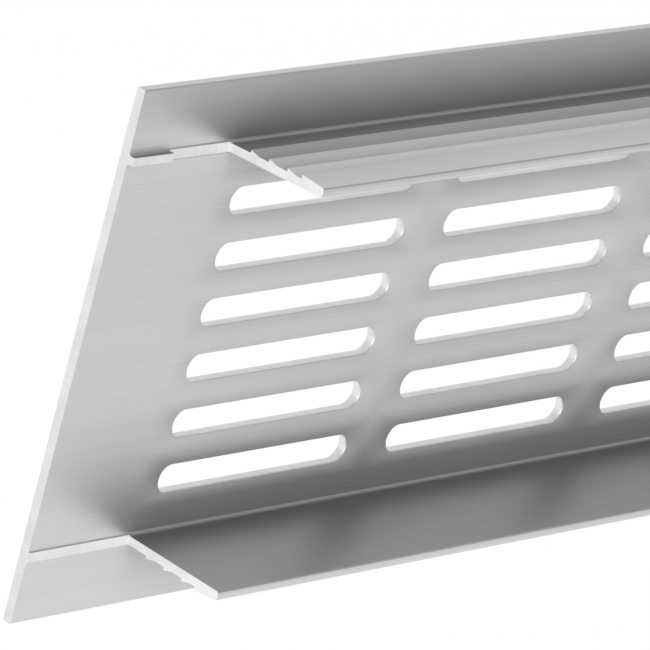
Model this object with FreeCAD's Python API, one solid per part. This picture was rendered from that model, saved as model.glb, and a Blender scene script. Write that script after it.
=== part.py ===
import FreeCAD, Part
import math
import os

# All sizes in millimetres. The origin is the middle of the plate's rear face,
# X runs along the grille, +Z is up, the front looks along -Y and the legs
# point along +Y into the cut-out.

# Plate
length = 480.0
height = 80.0
plate_thickness = 1.5
edge_radius = 0.4

# Legs, the two flanges that are pressed into the cut-out
rim_height = 9.55
leg_thickness = 1.25
leg_depth = 17.8
leg_splay = 0.5
leg_setback = 20.5
root_fillet = 0.5
tip_radius = 0.3

# Saw-tooth barbs along the outer side of each leg
first_barb = 4.0
barb_pitch = 3.45
barb_count = 3
barb_height = 0.4
barb_ramp = 1.9

# Wide lip between the last barb and the tip
lip_start = 13.6
lip_height = 0.55
lip_at_tip = 0.15

# Stubs left on the plate where the leg ends are milled off
lower_stub = 0.8
upper_stub = 0.9
upper_stub_low = 0.3
upper_stub_low_length = 8.0

# Air slots, punched with full-round ends
slot_length = 40.0
slot_width = 4.25
column_pitch = 49.0
row_pitch = 8.46
end_land = 24.0
row_land = 4.0

# Values worked out from the ones above
leg_outer = height / 2 - rim_height
leg_inner = leg_outer - leg_thickness
column_room = length - 2 * end_land - slot_length
columns = math.floor(column_room / column_pitch + 1e-6) + 1
row_room = 2 * leg_inner - 2 * row_land - slot_width
rows = math.floor(row_room / row_pitch + 1e-6) + 1


def outer_face(y):
    """Height of the leg's outer face at depth y: it leans outwards by the
    splay between root and tip."""
    return leg_outer + leg_splay * y / leg_depth


def upper_half_corners():
    """Section corners of the upper half as (y, z, radius), from the inner
    root of the leg round its tip and barbs to the front of the plate."""
    corners = [
        (0.0, leg_inner, root_fillet),
        (leg_depth, leg_inner + leg_splay, tip_radius),
        (leg_depth, outer_face(leg_depth) + lip_at_tip, tip_radius),
        (lip_start, outer_face(lip_start) + lip_height, 0.0),
        (lip_start, outer_face(lip_start), 0.0),
    ]
    for number in reversed(range(barb_count)):
        start = first_barb + number * barb_pitch
        foot = start + barb_ramp
        corners.append((foot, outer_face(foot), 0.0))
        corners.append((start, outer_face(start) + barb_height, 0.0))
        corners.append((start, outer_face(start), 0.0))
    corners.append((0.0, leg_outer, root_fillet))
    corners.append((0.0, height / 2, edge_radius))
    corners.append((-plate_thickness, height / 2, edge_radius))
    return corners


def full_corners():
    """The closed section: the upper half, then its mirror below."""
    upper = upper_half_corners()
    lower = [(y, -z, radius) for y, z, radius in reversed(upper)]
    return upper + lower


def rounded_outline(corners, x):
    """A closed wire in the plane at x through the corners, each sharp or
    eased with a tangent arc of its own radius."""
    points = [FreeCAD.Vector(x, y, z) for y, z, radius in corners]
    count = len(points)
    starts = []
    ends = []
    edges = []
    for index in range(count):
        here = points[index]
        radius = corners[index][2]
        if radius == 0.0:
            starts.append(here)
            ends.append(here)
            continue
        back = (points[index - 1] - here).normalize()
        onward = (points[(index + 1) % count] - here).normalize()
        half = back.getAngle(onward) / 2
        reach = radius / math.tan(half)
        bisector = (back + onward).normalize()
        start = here + back * reach
        end = here + onward * reach
        middle = here + bisector * (radius / math.sin(half) - radius)
        edges.append(Part.Arc(start, middle, end).toShape())
        starts.append(start)
        ends.append(end)
    for index in range(count):
        start = ends[index]
        end = starts[(index + 1) % count]
        edges.append(Part.LineSegment(start, end).toShape())
    return Part.Wire(Part.__sortEdges__(edges))


def extruded_bar():
    """The section carried along the whole length."""
    wire = rounded_outline(full_corners(), -length / 2)
    return Part.Face(wire).extrude(FreeCAD.Vector(length, 0, 0))


def milling_box(x_from, x_to, side, stub):
    """The space a cutter clears over one leg end, above a stub height."""
    low = leg_inner - 1.0
    high = leg_outer + leg_splay + 1.5
    bottom = low if side > 0 else -high
    corner = FreeCAD.Vector(min(x_from, x_to), stub, bottom)
    return Part.makeBox(abs(x_to - x_from), leg_depth + 1.0, high - low, corner)


def milled_ends():
    """Cutter spaces over both legs at both ends of the bar."""
    boxes = []
    outside = length / 2 + 1.0
    step = length / 2 - upper_stub_low_length
    inside = length / 2 - leg_setback
    for end in (-1, 1):
        boxes.append(milling_box(end * inside, end * outside, -1, lower_stub))
        boxes.append(milling_box(end * inside, end * outside, 1, upper_stub))
        boxes.append(milling_box(end * step, end * outside, 1, upper_stub_low))
    return boxes


def slot_cutter(x, z):
    """One full-round slot through the plate, centred on x and z."""
    radius = slot_width / 2
    straight = slot_length - slot_width
    y = -plate_thickness - 1.0
    left = x - straight / 2
    right = x + straight / 2
    top_left = FreeCAD.Vector(left, y, z + radius)
    top_right = FreeCAD.Vector(right, y, z + radius)
    low_left = FreeCAD.Vector(left, y, z - radius)
    low_right = FreeCAD.Vector(right, y, z - radius)
    far_right = FreeCAD.Vector(right + radius, y, z)
    far_left = FreeCAD.Vector(left - radius, y, z)
    edges = [
        Part.LineSegment(top_left, top_right).toShape(),
        Part.Arc(top_right, far_right, low_right).toShape(),
        Part.LineSegment(low_right, low_left).toShape(),
        Part.Arc(low_left, far_left, top_left).toShape(),
    ]
    face = Part.Face(Part.Wire(edges))
    return face.extrude(FreeCAD.Vector(0, plate_thickness + 2.0, 0))


def slot_cutters():
    """All the slots, spread evenly about the middle of the plate."""
    cutters = []
    for column in range(columns):
        x = (column - (columns - 1) / 2) * column_pitch
        for row in range(rows):
            z = (row - (rows - 1) / 2) * row_pitch
            cutters.append(slot_cutter(x, z))
    return cutters


def build_grille():
    """The finished grille: bar, milled leg ends, punched slots."""
    bar = extruded_bar().cut(milled_ends())
    return bar.cut(slot_cutters())


os.makedirs("parts", exist_ok=True)
shape = build_grille()
if len(shape.Solids) == 1:
    shape = shape.Solids[0]
box = shape.BoundBox
print("solids", len(shape.Solids), "valid", shape.isValid())
print("box", box.XLength, box.YLength, box.ZLength)
print("slots", columns, "by", rows, "volume", shape.Volume)
shape.exportStep("parts/grille.step")
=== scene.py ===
"""Dresses the plinth vent grille: one satin anodised extrusion with raw
sawn, milled and punched faces, set in a pale studio."""

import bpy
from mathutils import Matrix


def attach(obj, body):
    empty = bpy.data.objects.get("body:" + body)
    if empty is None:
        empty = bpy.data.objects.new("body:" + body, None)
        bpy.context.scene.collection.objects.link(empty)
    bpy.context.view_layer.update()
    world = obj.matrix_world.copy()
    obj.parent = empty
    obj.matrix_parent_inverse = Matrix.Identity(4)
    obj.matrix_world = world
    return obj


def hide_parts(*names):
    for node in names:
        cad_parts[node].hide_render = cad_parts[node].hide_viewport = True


bl_info = {
    "name": "Plinth Vent Grille",
    "version": (1, 0, 0),
    "blender": (4, 5, 0),
    "location": "View3D > Sidebar > Grille",
    "description": "Builds the dressed vent grille and its studio",
    "category": "Object",
}

import math

import bmesh
import bpy
import numpy as np
from mathutils import Quaternion, Vector

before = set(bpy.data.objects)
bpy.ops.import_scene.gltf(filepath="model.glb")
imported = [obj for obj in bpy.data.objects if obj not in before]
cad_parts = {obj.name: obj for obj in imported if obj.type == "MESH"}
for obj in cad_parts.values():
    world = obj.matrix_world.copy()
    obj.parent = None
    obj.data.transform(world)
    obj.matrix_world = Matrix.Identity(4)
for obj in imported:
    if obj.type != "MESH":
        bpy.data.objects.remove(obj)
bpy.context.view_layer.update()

MM = 0.001

# Corners closer than this are one corner, and edges flatter than the angle
# are shaded smooth
MERGE_DISTANCE = 0.0005 * MM
SMOOTH_ANGLE = math.radians(35)

# Points on a quarter circle of each rounding
FILLET_POINTS = 6
TIP_POINTS = 5
EDGE_POINTS = 5
SLOT_EDGE_POINTS = 4

# Divisions of a slot's half circle, and points along a slot, along the land
# beside the last slots and along the plate's end
HALF_CIRCLE_STEPS = 16
SLOT_POINTS = 9
LAND_POINTS = 9
END_POINTS = 7

# Places in the list of the grille's materials
ANODISED = 0
SAWN = 1
MILLED = 2
PUNCHED = 3

# Painted shade in the deep corners: how far it reaches, the share of open sky
# at which it is deepest and at which it ends, the share of the tone left at its
# deepest, and the rays that feel for it
CORNER_REACH = 70 * MM
CORNER_SHUT = 0.5
CORNER_OPEN = 0.82
CORNER_TONE = 0.58
CORNER_SAMPLES = 8

# Noise values between which nearly all of a noise pattern lies
NOISE_LOW = 0.3
NOISE_HIGH = 0.7

# The floor's half side and roughness, the X from which to which it fades in
# reflections, and the share that it fades by
FLOOR_REACH = 6.0
FLOOR_ROUGHNESS = 0.9
FLOOR_FADE_START = -0.18
FLOOR_FADE_END = -0.68
FLOOR_FADE = 0.6

# A reflection's direction looks behind between these values of its Y, and
# above between these values of its Z
BEHIND_START = -0.2
BEHIND_END = 0.6
ABOVE_START = 0.02
ABOVE_END = 0.27

# The camera's film width in millimetres, and the nearest thing it sees
FILM_WIDTH = 36
NEAREST = 0.01


# Colours

def linear(hex_colour):
    """An sRGB hex colour as linear red, green and blue."""
    parts = [int(hex_colour[i:i + 2], 16) / 255 for i in (1, 3, 5)]
    return [p / 12.92 if p <= 0.04045 else ((p + 0.055) / 1.055) ** 2.4 for p in parts]


def opaque(colour):
    """Red, green and blue with full alpha."""
    return list(colour) + [1.0]


# Settings

class GrilleSizes(bpy.types.PropertyGroup):
    """Real sizes of the extrusion, in metres."""

    height: bpy.props.FloatProperty(
        name="Height", description="Plate height",
        default=80.0 * MM, unit="LENGTH")
    length: bpy.props.FloatProperty(
        name="Length", description="Plate length",
        default=480.0 * MM, unit="LENGTH")
    plate: bpy.props.FloatProperty(
        name="Plate", description="Plate thickness",
        default=1.5 * MM, unit="LENGTH")
    edge_radius: bpy.props.FloatProperty(
        name="Edge radius", description="Rounding of the plate's long edges",
        default=0.25 * MM, unit="LENGTH")
    rim: bpy.props.FloatProperty(
        name="Rim", description="Plate standing outside each leg",
        default=9.55 * MM, unit="LENGTH")
    leg: bpy.props.FloatProperty(
        name="Leg", description="Leg thickness between the barbs",
        default=1.25 * MM, unit="LENGTH")
    leg_depth: bpy.props.FloatProperty(
        name="Leg depth", description="Reach of the legs behind the plate",
        default=17.8 * MM, unit="LENGTH")
    leg_splay: bpy.props.FloatProperty(
        name="Leg splay", description="How far a tip leans outwards",
        default=0.5 * MM, unit="LENGTH")
    leg_setback: bpy.props.FloatProperty(
        name="Leg setback", description="Milled length at each plate end",
        default=20.5 * MM, unit="LENGTH")
    root_fillet: bpy.props.FloatProperty(
        name="Root fillet", description="Fillet where a leg meets the plate",
        default=0.5 * MM, unit="LENGTH")
    tip_radius: bpy.props.FloatProperty(
        name="Tip radius", description="Rounding of the leg's tip",
        default=0.3 * MM, unit="LENGTH")
    first_barb: bpy.props.FloatProperty(
        name="First barb", description="Depth of the first barb's step",
        default=4.0 * MM, unit="LENGTH")
    barb_pitch: bpy.props.FloatProperty(
        name="Barb pitch", description="Distance from barb to barb",
        default=3.45 * MM, unit="LENGTH")
    barb_count: bpy.props.IntProperty(
        name="Barbs", description="Number of barbs on a leg", default=3)
    barb_height: bpy.props.FloatProperty(
        name="Barb height", description="Height of a barb's step",
        default=0.45 * MM, unit="LENGTH")
    barb_ramp: bpy.props.FloatProperty(
        name="Barb ramp", description="Length of a barb's slope",
        default=1.6 * MM, unit="LENGTH")
    lip_start: bpy.props.FloatProperty(
        name="Lip start", description="Depth of the wide lip's step",
        default=13.6 * MM, unit="LENGTH")
    lip_height: bpy.props.FloatProperty(
        name="Lip height", description="Height of the wide lip's step",
        default=0.55 * MM, unit="LENGTH")
    lip_at_tip: bpy.props.FloatProperty(
        name="Lip at tip", description="What is left of the lip at the tip",
        default=0.15 * MM, unit="LENGTH")
    lower_stub: bpy.props.FloatProperty(
        name="Lower stub", description="Height left under the cutter below",
        default=0.15 * MM, unit="LENGTH")
    upper_stub: bpy.props.FloatProperty(
        name="Upper stub", description="Height left under the cutter above",
        default=0.15 * MM, unit="LENGTH")
    end_stub: bpy.props.FloatProperty(
        name="End stub", description="Height left above at the plate's end",
        default=1.1 * MM, unit="LENGTH")
    end_stub_length: bpy.props.FloatProperty(
        name="End stub length", description="Length of the taller stub",
        default=8.0 * MM, unit="LENGTH")
    slot_length: bpy.props.FloatProperty(
        name="Slot length", description="Slot from end to end",
        default=40.0 * MM, unit="LENGTH")
    slot_width: bpy.props.FloatProperty(
        name="Slot width", description="Slot across",
        default=4.25 * MM, unit="LENGTH")
    slot_edge: bpy.props.FloatProperty(
        name="Slot edge", description="Rounding of the slots' edges",
        default=0.1 * MM, unit="LENGTH")
    columns: bpy.props.IntProperty(
        name="Columns", description="Slots along the plate", default=9)
    rows: bpy.props.IntProperty(
        name="Rows", description="Slots up the plate", default=6)
    column_pitch: bpy.props.FloatProperty(
        name="Column pitch", description="From slot to slot along the plate",
        default=49.0 * MM, unit="LENGTH")
    row_pitch: bpy.props.FloatProperty(
        name="Row pitch", description="From slot to slot up the plate",
        default=8.46 * MM, unit="LENGTH")


class GrilleColours(bpy.types.PropertyGroup):
    """The two tones between which each finish drifts."""

    anodised_dark: bpy.props.FloatVectorProperty(
        name="Anodised, dark", description="Darker tone of the satin faces",
        default=linear("#d6d6d6"), subtype="COLOR")
    anodised_pale: bpy.props.FloatVectorProperty(
        name="Anodised, pale", description="Paler tone of the satin faces",
        default=linear("#e0e0e0"), subtype="COLOR")
    sawn_dark: bpy.props.FloatVectorProperty(
        name="Sawn, dark", description="Darker tone of the sawn plate ends",
        default=linear("#d6d6d6"), subtype="COLOR")
    sawn_pale: bpy.props.FloatVectorProperty(
        name="Sawn, pale", description="Paler tone of the sawn plate ends",
        default=linear("#ececec"), subtype="COLOR")
    milled_dark: bpy.props.FloatVectorProperty(
        name="Milled, dark", description="Darker tone of the milled leg ends",
        default=linear("#f0f0f0"), subtype="COLOR")
    milled_pale: bpy.props.FloatVectorProperty(
        name="Milled, pale", description="Paler tone of the milled leg ends",
        default=linear("#ffffff"), subtype="COLOR")
    punched_dark: bpy.props.FloatVectorProperty(
        name="Punched, dark", description="Darker tone of the slots' walls",
        default=linear("#dedede"), subtype="COLOR")
    punched_pale: bpy.props.FloatVectorProperty(
        name="Punched, pale", description="Paler tone of the slots' walls",
        default=linear("#f0f0f0"), subtype="COLOR")


class GrilleStudio(bpy.types.PropertyGroup):
    """Camera, floor, room and lamps."""

    camera_place: bpy.props.FloatVectorProperty(
        name="Camera", description="Where the camera stands",
        default=(1.05345, 0.65782, 0.388075), subtype="TRANSLATION")
    camera_aim: bpy.props.FloatVectorProperty(
        name="Aim", description="The point the camera looks at",
        default=(0.188104, 0.0, -0.000631), subtype="TRANSLATION")
    camera_roll: bpy.props.FloatProperty(
        name="Roll", description="Turn of the picture about its middle",
        default=math.radians(14.784), subtype="ANGLE")
    lens: bpy.props.FloatProperty(
        name="Lens", description="Focal length in millimetres",
        default=453.43, unit="CAMERA")
    background: bpy.props.FloatVectorProperty(
        name="Background", description="Colour behind the grille",
        default=linear("#ffffff"), subtype="COLOR")
    floor_colour: bpy.props.FloatVectorProperty(
        name="Floor", description="Colour of the floor under the light",
        default=linear("#f8f8f8"), subtype="COLOR")
    floor_height: bpy.props.FloatProperty(
        name="Floor height", description="Height of the floor",
        default=-0.15, unit="LENGTH")
    floor_share: bpy.props.FloatProperty(
        name="Floor share", description="Share of background in the seen floor",
        default=0.85, subtype="FACTOR")
    floor_glow: bpy.props.FloatProperty(
        name="Floor glow", description="Its strength, for white with the rest",
        default=1.04)
    room_colour: bpy.props.FloatVectorProperty(
        name="Room", description="Colour of the room's light",
        default=linear("#dcdcdc"), subtype="COLOR")
    front_level: bpy.props.FloatProperty(
        name="Front level", description="Reflected room above the front",
        default=0.78, subtype="FACTOR")
    behind_level: bpy.props.FloatProperty(
        name="Behind level", description="Reflected room above the back",
        default=0.24, subtype="FACTOR")
    key_place: bpy.props.FloatVectorProperty(
        name="Key lamp", description="Where the lamp above stands",
        default=(0.3, 0.5, 1.6), subtype="TRANSLATION")
    key_size: bpy.props.FloatProperty(
        name="Key size", description="Side of the lamp above",
        default=1.2, unit="LENGTH")
    key_power: bpy.props.FloatProperty(
        name="Key power", description="Power of the lamp above",
        default=1.5, unit="POWER")
    side_place: bpy.props.FloatVectorProperty(
        name="Side lamp", description="Where the lamp at the end stands",
        default=(1.9, 0.25, 0.45), subtype="TRANSLATION")
    side_size: bpy.props.FloatProperty(
        name="Side size", description="Side of the lamp at the end",
        default=0.7, unit="LENGTH")
    side_power: bpy.props.FloatProperty(
        name="Side power", description="Power of the lamp at the end",
        default=13.0, unit="POWER")


# Surfaces

def window_edge(sizes):
    """How far the slotted window reaches above the middle."""
    return sizes.rows * sizes.row_pitch / 2


def column_middles(sizes):
    """The X of each column of slots."""
    return (np.arange(sizes.columns) - (sizes.columns - 1) / 2) * sizes.column_pitch


def leg_outline(sizes):
    """The upper leg's section as (y, z) points from the inner root to the
    outer root: straight faces leaning by splay * y / depth, root fillets and
    tip corners as arcs, barbs and lip as steps with a slope behind them.
    Extra points lie at each stub height, where the cutters pass."""
    outer = sizes.height / 2 - sizes.rim
    inner = outer - sizes.leg
    slope = sizes.leg_splay / sizes.leg_depth
    depth = sizes.leg_depth
    levels = np.unique([sizes.lower_stub, sizes.upper_stub, sizes.end_stub])
    fillet = sizes.root_fillet

    def face(base, y):
        return base + slope * y

    # The fillet's middle lies one radius off both faces, y = r (1 - cos a)
    turn = np.sort(np.append(np.linspace(0, math.pi / 2, FILLET_POINTS),
                             np.arccos(1 - levels[levels < fillet] / fillet)))
    rise = fillet * (1 - np.cos(turn))
    inner_root = np.column_stack([rise, inner - fillet * (1 - np.sin(turn)) + slope * rise])
    outer_root = np.column_stack([rise, outer + fillet * (1 - np.sin(turn)) + slope * rise])
    straight = levels[levels > fillet]
    inner_face = np.column_stack([straight, face(inner, straight)])
    outer_face = np.column_stack([straight, face(outer, straight)])

    corner = np.linspace(0, math.pi / 2, TIP_POINTS)
    radius = sizes.tip_radius
    tip_z = face(inner, depth)
    top_z = face(outer, depth) + sizes.lip_at_tip
    tip_inner = np.column_stack([
        depth - radius + radius * np.sin(corner), tip_z + radius * (1 - np.cos(corner))])
    tip_outer = np.column_stack([
        depth - radius + radius * np.cos(corner), top_z - radius * (1 - np.sin(corner))])

    lip = np.array([
        (sizes.lip_start, face(outer, sizes.lip_start) + sizes.lip_height),
        (sizes.lip_start, face(outer, sizes.lip_start)),
    ])
    starts = sizes.first_barb + sizes.barb_pitch * np.arange(sizes.barb_count)[::-1]
    feet = starts + sizes.barb_ramp
    barbs = np.stack([
        np.column_stack([feet, face(outer, feet)]),
        np.column_stack([starts, face(outer, starts) + sizes.barb_height]),
        np.column_stack([starts, face(outer, starts)]),
    ], axis=1).reshape(-1, 2)
    return np.vstack([inner_root, inner_face, tip_inner, tip_outer, lip, barbs,
                      outer_face[::-1], outer_root[::-1]])


def below(leg, stub):
    """The part of the leg's section no higher than the stub."""
    return leg[leg[:, 0] <= stub + MERGE_DISTANCE]


def above(leg, stub):
    """The part of the leg's section no lower than the stub."""
    return leg[leg[:, 0] >= stub - MERGE_DISTANCE]


def plate_edge(sizes):
    """The plate's section outside the leg: up the rim, round the long edge
    as two arcs y, z = middle + r (sin a, cos a), and down the front to the
    slotted window."""
    top = sizes.height / 2
    radius = sizes.edge_radius
    turn = np.linspace(0, math.pi / 2, EDGE_POINTS)
    back = np.column_stack([-radius + radius * np.cos(turn), top - radius + radius * np.sin(turn)])
    front = np.column_stack([
        -sizes.plate + radius - radius * np.sin(turn), top - radius + radius * np.cos(turn)])
    return np.vstack([back, front, [(-sizes.plate, window_edge(sizes))]])


def upper_profile(sizes, leg):
    """The open section from the window's rear edge round the leg and the
    long edge to the window's front edge."""
    return np.vstack([[(0.0, window_edge(sizes))], leg, plate_edge(sizes)])


def carried(profile, stations):
    """The profile carried along X: point (i, j) is (station i, profile j)."""
    y = np.broadcast_to(profile[:, 0], (len(stations), len(profile)))
    z = np.broadcast_to(profile[:, 1], y.shape)
    x = np.broadcast_to(stations[:, None], y.shape)
    return np.stack([x, y, z], axis=-1)


def border_steps(sizes):
    """Where the border of a slot's cell is divided along X. One division
    falls on the leg's end, so the surfaces share their corners there."""
    half = sizes.column_pitch / 2
    reach = sizes.columns * half
    leg_end = sizes.length / 2 - sizes.leg_setback
    near = half - (reach - leg_end)
    inside = np.linspace(-near, near, SLOT_POINTS)
    return np.concatenate([[-half], inside, [half]])


def cell_border(sizes):
    """Two closed loops of the same count: the middle line of the slot's
    outline, with the unit outward direction at each point, and the border of
    its cell. The slot's straight runs are stretched to the cell's width, and
    its half circles, (cos a, sin a) from their middles, to the cell's sides.
    Only the upper and right half is worked out, and the rest is its turn by
    half a circle, -x and -z."""
    along = border_steps(sizes)
    half_cell = sizes.column_pitch / 2
    half_row = sizes.row_pitch / 2
    straight = (sizes.slot_length - sizes.slot_width) / 2
    turn = np.linspace(math.pi / 2, -math.pi / 2, HALF_CIRCLE_STEPS + 1)[1:-1]
    sides = np.linspace(half_row, -half_row, HALF_CIRCLE_STEPS + 1)[1:-1]

    run_middle = np.column_stack([along / half_cell * straight, np.zeros(len(along))])
    run_way = np.tile([0.0, 1.0], (len(along), 1))
    run_border = np.column_stack([along, np.full(len(along), half_row)])
    circle_middle = np.tile([straight, 0.0], (len(turn), 1))
    circle_way = np.column_stack([np.cos(turn), np.sin(turn)])
    circle_border = np.column_stack([np.full(len(turn), half_cell), sides])

    middle = np.vstack([run_middle, circle_middle])
    way = np.vstack([run_way, circle_way])
    border = np.vstack([run_border, circle_border])
    return [np.vstack([part, -part]) for part in (middle, way, border)]


def slot_cells(sizes):
    """All the slots' surroundings. For loop parameter i and depth parameter
    j a point is middle_i + way_i * (w / 2 + inset_j) at depth y_j, where
    inset and y run along the rear face, round a quarter circle, down the
    wall, round a second quarter circle and back out along the front face."""
    middle, way, border = cell_border(sizes)
    edge = sizes.slot_edge
    turn = np.linspace(0, math.pi / 2, SLOT_EDGE_POINTS)
    inset = np.concatenate([edge * (1 - np.sin(turn)), edge * (1 - np.cos(turn))])
    y = np.concatenate([-edge * (1 - np.cos(turn)), -sizes.plate + edge * (1 - np.sin(turn))])
    out = sizes.slot_width / 2 + inset
    loops = middle[:, None, :] + way[:, None, :] * out[None, :, None]
    loops = np.concatenate([border[:, None, :], loops, border[:, None, :]], axis=1)
    y = np.concatenate([[0.0], y, [-sizes.plate]])
    y = np.broadcast_to(y, loops.shape[:2])
    cell = np.stack([loops[..., 0], y, loops[..., 1]], axis=-1)
    rows = (np.arange(sizes.rows) - (sizes.rows - 1) / 2) * sizes.row_pitch
    shift = np.stack(np.meshgrid(column_middles(sizes), [0.0], rows, indexing="ij"), axis=-1)
    return cell[None] + shift.reshape(-1, 1, 1, 3)


def grid_faces(rows, columns, closed):
    """Corner numbers of a grid's quads. A closed grid joins its last row to
    its first."""
    numbers = np.arange(rows * columns).reshape(rows, columns)
    ahead = np.roll(numbers, -1, axis=0)
    if not closed:
        numbers = numbers[:-1]
        ahead = ahead[:-1]
    return np.stack([
        numbers[:, :-1], ahead[:, :-1], ahead[:, 1:], numbers[:, 1:]], axis=-1).reshape(-1, 4)


class Skin:
    """Collects points, faces and their materials."""

    def __init__(self):
        self.points = []
        self.faces = []
        self.zones = []
        self.count = 0

    def add(self, points, faces, zones):
        """Adds points (n, 3) with faces that number them from nought."""
        self.points.append(points)
        self.faces.extend((faces + self.count).tolist())
        self.zones.extend(zones)
        self.count += len(points)

    def add_grid(self, grid, column_zones=None, closed=False):
        """Adds a grid of points; column_zones gives a zone for each strip,
        and without it all are anodised."""
        faces = grid_faces(grid.shape[0], grid.shape[1], closed)
        if column_zones is None:
            column_zones = [ANODISED] * (grid.shape[1] - 1)
        zones = np.tile(column_zones, len(faces) // len(column_zones)).tolist()
        self.add(grid.reshape(-1, 3), faces, zones)

    def add_face(self, outline, x, zone):
        """Adds one flat face at x with a (y, z) outline."""
        points = np.column_stack([np.full(len(outline), x), outline])
        self.add(points, np.arange(len(outline))[None], [zone])


def add_half(skin, sizes, side, stub, end_stub, land, plate_end):
    """Adds the half above the window (side 1) or below it (side -1): the
    full leg carried along the slots' stations, a low stub along the land, a
    second one along the plate's end, and the milled faces where the height
    changes. Gives back the section at the plate's ends."""
    leg = leg_outline(sizes)
    mirror = np.array([1, side])
    leg_end = sizes.length / 2 - sizes.leg_setback
    stations = column_middles(sizes)[:, None] + border_steps(sizes)[None, :-1]
    skin.add_grid(carried(upper_profile(sizes, leg) * mirror, stations.reshape(-1)[1:]))
    for end in (-1, 1):
        for height, part in ((stub, np.append(leg_end, land)), (end_stub, plate_end)):
            profile = upper_profile(sizes, below(leg, height))
            tops = np.abs(profile[:-1, 0] - height) + np.abs(profile[1:, 0] - height)
            zones = np.where(tops < MERGE_DISTANCE, MILLED, ANODISED).tolist()
            skin.add_grid(carried(profile * mirror, end * part), column_zones=zones)
        skin.add_face(above(leg, stub) * mirror, end * leg_end, MILLED)
        if end_stub > stub:
            rest = above(below(leg, end_stub), stub)
            skin.add_face(rest * mirror, end * plate_end[0], MILLED)
    return upper_profile(sizes, below(leg, end_stub)) * mirror


def add_lands(skin, sizes, upper, lower, parts):
    """Adds both faces of the plate beyond the last slots, and the sawn ends
    with the upper and lower sections as their outline."""
    window = window_edge(sizes)
    steps = np.linspace(-window, window, sizes.rows * HALF_CIRCLE_STEPS + 1)
    rear = np.column_stack([np.zeros(len(steps) - 2), steps[1:-1]])
    front = rear[::-1] - np.array([sizes.plate, 0])
    outline = np.vstack([upper, front, lower[::-1], rear])
    for end in (-1, 1):
        for y in (0.0, -sizes.plate):
            strip = np.column_stack([np.full(len(steps), y), steps])
            for part in parts:
                skin.add_grid(carried(strip, end * part))
        skin.add_face(outline, end * sizes.length / 2, SAWN)


def grille_skin(sizes):
    """The whole closed surface: both halves, the lands and the slots."""
    skin = Skin()
    reach = sizes.columns * sizes.column_pitch / 2
    step = sizes.length / 2 - sizes.end_stub_length
    land = np.linspace(reach, step, LAND_POINTS)
    plate_end = np.linspace(step, sizes.length / 2, END_POINTS)
    upper = add_half(skin, sizes, 1, sizes.upper_stub, sizes.end_stub, land, plate_end)
    lower = add_half(skin, sizes, -1, sizes.lower_stub, sizes.lower_stub, land, plate_end)
    add_lands(skin, sizes, upper, lower, (land, plate_end))
    cells = slot_cells(sizes)
    walls = cells.shape[2] - 3
    for cell in cells:
        skin.add_grid(cell, column_zones=[ANODISED] + [PUNCHED] * walls + [ANODISED], closed=True)
    return skin


def finished_mesh(name, skin):
    """A closed mesh: doubled corners merged, faces turned outwards, flat
    edges shaded smooth."""
    mesh = bpy.data.meshes.new(name)
    mesh.from_pydata(np.concatenate(skin.points), [], skin.faces)
    mesh.polygons.foreach_set("material_index", np.array(skin.zones, dtype=np.int32))
    solid = bmesh.new()
    solid.from_mesh(mesh)
    bmesh.ops.remove_doubles(solid, verts=solid.verts, dist=MERGE_DISTANCE)
    bmesh.ops.recalc_face_normals(solid, faces=solid.faces)
    solid.to_mesh(mesh)
    solid.free()
    mesh.polygons.foreach_set("use_smooth", np.ones(len(mesh.polygons), dtype=bool))
    mesh.set_sharp_from_angle(angle=SMOOTH_ANGLE)
    mesh.update()
    return mesh


def shown_object(name, data):
    """An object at the origin, linked to the scene."""
    piece = bpy.data.objects.new(name, data)
    bpy.context.scene.collection.objects.link(piece)
    return piece


# Materials

def add_node(tree, kind, inputs=(), **settings):
    """Adds a node with its settings. Each input is a value, or an output
    that is linked to it."""
    node = tree.nodes.new(kind)
    for name, value in settings.items():
        setattr(node, name, value)
    for key, value in dict(inputs).items():
        if isinstance(value, bpy.types.NodeSocket):
            tree.links.new(value, node.inputs[key])
        else:
            node.inputs[key].default_value = value
    return node


def pattern(tree, spacing, detail=2.0):
    """Noise whose features are as large as spacing, in metres along X, Y
    and Z, read from Object coordinates."""
    place = add_node(tree, "ShaderNodeTexCoord")
    scale = [1 / size for size in spacing]
    turned = add_node(tree, "ShaderNodeMapping",
                      {"Vector": place.outputs["Object"], "Scale": scale})
    noise = add_node(tree, "ShaderNodeTexNoise",
                     {"Vector": turned.outputs["Vector"], "Scale": 1.0, "Detail": detail})
    return noise.outputs["Fac"]


def spread(tree, value, low, high):
    """A noise value carried over to the range from low to high."""
    ranged = add_node(tree, "ShaderNodeMapRange",
                      {"Value": value, "From Min": NOISE_LOW, "From Max": NOISE_HIGH,
                       "To Min": low, "To Max": high})
    return ranged.outputs["Result"]


def with_painted_shade(tree, tone):
    """The tone as it is in the open, darkened deep in the corners by painted
    shade that follows the open sky found there."""
    open_sky = add_node(tree, "ShaderNodeAmbientOcclusion", {"Distance": CORNER_REACH},
                        samples=CORNER_SAMPLES)
    level = add_node(tree, "ShaderNodeMapRange",
                     {"Value": open_sky.outputs["AO"], "From Min": CORNER_SHUT,
                      "From Max": CORNER_OPEN, "To Min": CORNER_TONE, "To Max": 1.0})
    return add_node(tree, "ShaderNodeVectorMath", {0: tone, 1: level.outputs["Result"]},
                    operation="MULTIPLY").outputs[0]


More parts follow.
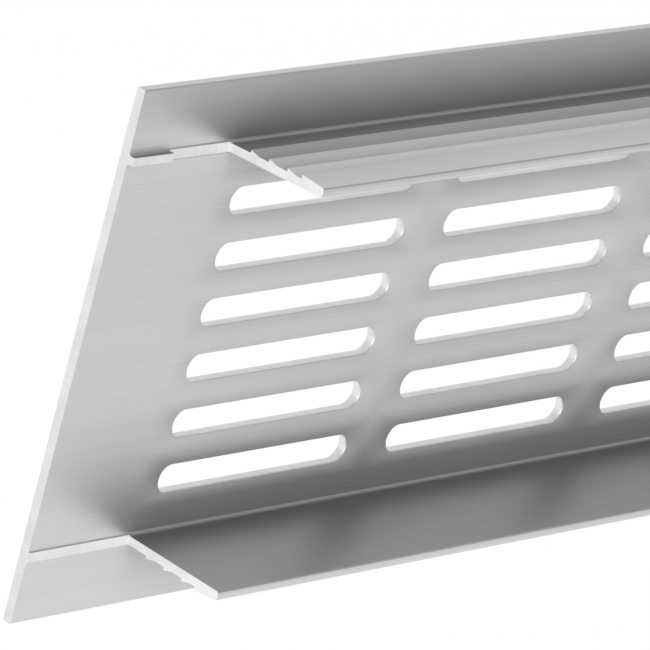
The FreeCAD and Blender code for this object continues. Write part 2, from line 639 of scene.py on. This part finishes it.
def metal(name, dark, pale, lines, cloud, grain, rough, line_depth, grain_depth, shade_corners=False):
    """A bare metal: tone drifts between two colours with fine lines and a
    wide cloud, roughness drifts with the grain, and lines and grain stand in
    relief."""
    material = bpy.data.materials.new(name)
    material.use_nodes = True
    tree = material.node_tree
    shader = tree.nodes["Principled BSDF"]
    shader.inputs["Metallic"].default_value = 1.0
    line_noise = pattern(tree, lines)
    cloud_noise = pattern(tree, cloud)
    grain_noise = pattern(tree, grain, detail=1.0)
    both = add_node(tree, "ShaderNodeMath", {0: line_noise, 1: cloud_noise}, operation="ADD")
    half = add_node(tree, "ShaderNodeMath", {0: both.outputs[0], 1: 0.5}, operation="MULTIPLY")
    share = spread(tree, half.outputs[0], 0.0, 1.0)
    # Inputs 6 and 7 and output 2 are the colours
    tone = add_node(tree, "ShaderNodeMix", {0: share, 6: opaque(dark), 7: opaque(pale)},
                    data_type="RGBA").outputs[2]
    # Painted shade: the tone darkens deep in the corners, where ambient occlusion finds little
    # open sky
    if shade_corners:
        tone = with_painted_shade(tree, tone)
    tree.links.new(tone, shader.inputs["Base Color"])
    tree.links.new(spread(tree, grain_noise, rough[0], rough[1]), shader.inputs["Roughness"])
    lines_relief = add_node(tree, "ShaderNodeBump",
                            {"Height": line_noise, "Distance": line_depth, "Strength": 1.0})
    relief = add_node(tree, "ShaderNodeBump",
                      {"Height": grain_noise, "Distance": grain_depth, "Strength": 1.0,
                       "Normal": lines_relief.outputs["Normal"]})
    tree.links.new(relief.outputs["Normal"], shader.inputs["Normal"])
    return material


def anodised_aluminium(colours):
    """Natural anodised aluminium, etched to a satin before anodising: an
    even, soft grey with faint die lines along the extrusion. The lines are
    really finer, and are drawn as coarse as it takes to show them."""
    # The satin tone carries painted shade, darker deep in the corners
    return metal("anodised_aluminium", colours.anodised_dark, colours.anodised_pale,
                 lines=(90 * MM, 0.35 * MM, 0.35 * MM), cloud=(40 * MM, 14 * MM, 14 * MM),
                 grain=(0.2 * MM, 0.2 * MM, 0.2 * MM), rough=(0.4, 0.46),
                 line_depth=0.001 * MM, grain_depth=0.002 * MM, shade_corners=True)


def sawn_aluminium(colours):
    """Raw aluminium from the cut-off saw: bright, with fine tooth lines
    across the plate's thickness."""
    return metal("sawn_aluminium", colours.sawn_dark, colours.sawn_pale,
                 lines=(2 * MM, 8 * MM, 0.25 * MM), cloud=(5 * MM, 5 * MM, 5 * MM),
                 grain=(0.15 * MM, 0.15 * MM, 0.15 * MM), rough=(0.35, 0.5),
                 line_depth=0.004 * MM, grain_depth=0.003 * MM)


def milled_aluminium(colours):
    """Raw aluminium left by the end mill: bright, with cutter marks about
    half a millimetre apart."""
    return metal("milled_aluminium", colours.milled_dark, colours.milled_pale,
                 lines=(0.5 * MM, 3 * MM, 3 * MM), cloud=(4 * MM, 4 * MM, 4 * MM),
                 grain=(0.2 * MM, 0.2 * MM, 0.2 * MM), rough=(0.5, 0.62),
                 line_depth=0.004 * MM, grain_depth=0.003 * MM)


def punched_aluminium(colours):
    """Aluminium sheared by the punch and anodised with the rest: a little
    brighter than the faces, with drag lines through the thickness."""
    return metal("punched_aluminium", colours.punched_dark, colours.punched_pale,
                 lines=(0.3 * MM, 6 * MM, 0.3 * MM), cloud=(6 * MM, 6 * MM, 6 * MM),
                 grain=(0.2 * MM, 0.2 * MM, 0.2 * MM), rough=(0.32, 0.45),
                 line_depth=0.004 * MM, grain_depth=0.002 * MM)


# Studio

def seen_and_mirrored(tree):
    """Two outputs: 1 for rays from the camera, reflections and what shines
    through, and 1 for reflections alone."""
    path = add_node(tree, "ShaderNodeLightPath")
    either = add_node(tree, "ShaderNodeMath",
                      {0: path.outputs["Is Camera Ray"], 1: path.outputs["Is Glossy Ray"]},
                      operation="MAXIMUM")
    any_of = add_node(tree, "ShaderNodeMath",
                      {0: either.outputs[0], 1: path.outputs["Is Transmission Ray"]},
                      operation="MAXIMUM")
    return any_of.outputs[0], path.outputs["Is Glossy Ray"]


def dimmed(tree, strength, fall, mirrored):
    """The strength, less the fall for reflections."""
    counted = add_node(tree, "ShaderNodeMath", {0: fall, 1: mirrored}, operation="MULTIPLY")
    level = add_node(tree, "ShaderNodeMath", {0: strength, 1: counted.outputs[0]},
                     operation="SUBTRACT")
    return level.outputs[0]


def floor_material(studio):
    """A matt floor under the light. The camera and reflections see it mixed
    with the background's glow, so it is white and still keeps the shadow."""
    material = bpy.data.materials.new("pale_floor")
    material.use_nodes = True
    tree = material.node_tree
    plain = tree.nodes["Principled BSDF"]
    plain.inputs["Base Color"].default_value = opaque(studio.floor_colour)
    plain.inputs["Roughness"].default_value = FLOOR_ROUGHNESS
    seen, mirrored = seen_and_mirrored(tree)
    place = add_node(tree, "ShaderNodeTexCoord")
    axes = add_node(tree, "ShaderNodeSeparateXYZ", {0: place.outputs["Object"]})
    fall = add_node(tree, "ShaderNodeMapRange",
                    {"Value": axes.outputs["X"], "From Min": FLOOR_FADE_START,
                     "From Max": FLOOR_FADE_END, "To Min": 0.0, "To Max": FLOOR_FADE})
    level = dimmed(tree, studio.floor_glow, fall.outputs[0], mirrored)
    glow = add_node(tree, "ShaderNodeEmission",
                    {"Color": opaque(studio.background), "Strength": level})
    share = add_node(tree, "ShaderNodeMath", {0: seen, 1: studio.floor_share},
                     operation="MULTIPLY")
    mixed = add_node(tree, "ShaderNodeMixShader",
                     {0: share.outputs[0], 1: plain.outputs[0], 2: glow.outputs[0]})
    tree.links.new(mixed.outputs[0], tree.nodes["Material Output"].inputs["Surface"])
    return material


def add_floor(studio):
    """A pale floor a hand's breadth under the grille."""
    side = FLOOR_REACH
    corners = np.array([(-side, -side), (side, -side), (side, side), (-side, side)])
    mesh = bpy.data.meshes.new("floor")
    points = np.column_stack([corners, np.full(len(corners), studio.floor_height)])
    mesh.from_pydata(points, [], [(0, 1, 2, 3)])
    mesh.materials.append(floor_material(studio))
    shown_object("floor", mesh)


def add_room(scene, studio):
    """An even pale room, in the background's colour where it is seen.
    Reflections find it dimmer above, and most of all above the back, where
    the studio is open."""
    world = bpy.data.worlds.new("pale_room")
    world.use_nodes = True
    tree = world.node_tree
    plain = tree.nodes["Background"]
    plain.inputs["Color"].default_value = opaque(studio.room_colour)
    seen, mirrored = seen_and_mirrored(tree)
    way = add_node(tree, "ShaderNodeTexCoord")
    axes = add_node(tree, "ShaderNodeSeparateXYZ", {0: way.outputs["Generated"]})
    behind = add_node(tree, "ShaderNodeMapRange",
                      {"Value": axes.outputs["Y"], "From Min": BEHIND_START,
                       "From Max": BEHIND_END}, interpolation_type="SMOOTHSTEP")
    overhead = add_node(tree, "ShaderNodeMapRange",
                        {"Value": axes.outputs["Z"], "From Min": ABOVE_START,
                         "From Max": ABOVE_END}, interpolation_type="SMOOTHSTEP")
    fall = add_node(tree, "ShaderNodeMapRange",
                    {"Value": behind.outputs[0], "To Min": 1.0 - studio.front_level,
                     "To Max": 1.0 - studio.behind_level})
    dim = add_node(tree, "ShaderNodeMath", {0: overhead.outputs[0], 1: fall.outputs[0]},
                   operation="MULTIPLY")
    level = dimmed(tree, 1.0, dim.outputs[0], mirrored)
    glow = add_node(tree, "ShaderNodeBackground",
                    {"Color": opaque(studio.background), "Strength": level})
    mixed = add_node(tree, "ShaderNodeMixShader",
                     {0: seen, 1: plain.outputs[0], 2: glow.outputs[0]})
    tree.links.new(mixed.outputs[0], tree.nodes["World Output"].inputs["Surface"])
    scene.world = world


def add_lamp(name, place, size, power):
    """A square soft lamp that faces the grille's middle."""
    lamp = bpy.data.lights.new(name, "AREA")
    lamp.size = size
    lamp.energy = power
    holder = shown_object(name, lamp)
    holder.location = place
    holder.rotation_mode = "QUATERNION"
    holder.rotation_quaternion = (-Vector(place)).to_track_quat("-Z", "Y")


def add_camera(scene, studio):
    """A long lens behind and above the grille's end."""
    camera = bpy.data.cameras.new("camera")
    camera.lens = studio.lens
    camera.sensor_width = FILM_WIDTH
    camera.clip_start = NEAREST
    holder = shown_object("camera", camera)
    place = Vector(studio.camera_place)
    look = (Vector(studio.camera_aim) - place).to_track_quat("-Z", "Y")
    holder.location = place
    holder.rotation_mode = "QUATERNION"
    holder.rotation_quaternion = look @ Quaternion((0, 0, 1), studio.camera_roll)
    scene.camera = holder


# Operators

class GRILLE_OT_body(bpy.types.Operator):
    """Build the slotted, barbed extrusion with its finishes"""

    bl_idname = "grille.body"
    bl_label = "Grille Body"

    def execute(self, context):
        mesh = finished_mesh("grille_body", grille_skin(context.scene.grille_sizes))
        for make in (anodised_aluminium, sawn_aluminium, milled_aluminium, punched_aluminium):
            mesh.materials.append(make(context.scene.grille_colours))
        piece = shown_object("grille_body", mesh)
        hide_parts("grille")
        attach(piece, "root")
        return {"FINISHED"}


class GRILLE_OT_studio(bpy.types.Operator):
    """Set up the floor, the room, the lamps and the camera"""

    bl_idname = "grille.studio"
    bl_label = "Studio"

    def execute(self, context):
        scene = context.scene
        studio = scene.grille_studio
        add_floor(studio)
        add_room(scene, studio)
        add_lamp("key", studio.key_place, studio.key_size, studio.key_power)
        add_lamp("side", studio.side_place, studio.side_size, studio.side_power)
        add_camera(scene, studio)
        scene.view_settings.view_transform = "Standard"
        return {"FINISHED"}


class GRILLE_PT_panel(bpy.types.Panel):
    """Lists the grille's steps"""

    bl_idname = "GRILLE_PT_panel"
    bl_label = "Plinth Vent Grille"
    bl_space_type = "VIEW_3D"
    bl_region_type = "UI"
    bl_category = "Grille"

    def draw(self, context):
        for step in OPERATORS:
            self.layout.operator(step.bl_idname)


OPERATORS = (GRILLE_OT_body, GRILLE_OT_studio)
CLASSES = (GrilleSizes, GrilleColours, GrilleStudio) + OPERATORS + (GRILLE_PT_panel,)


def register():
    for item in CLASSES:
        bpy.utils.register_class(item)
    bpy.types.Scene.grille_sizes = bpy.props.PointerProperty(type=GrilleSizes)
    bpy.types.Scene.grille_colours = bpy.props.PointerProperty(type=GrilleColours)
    bpy.types.Scene.grille_studio = bpy.props.PointerProperty(type=GrilleStudio)


def unregister():
    del bpy.types.Scene.grille_studio
    del bpy.types.Scene.grille_colours
    del bpy.types.Scene.grille_sizes
    for item in reversed(CLASSES):
        bpy.utils.unregister_class(item)


def main():
    """Registers the classes and runs the steps in order."""
    register()
    bpy.ops.grille.body()
    bpy.ops.grille.studio()


if __name__ == "__main__":
    main()
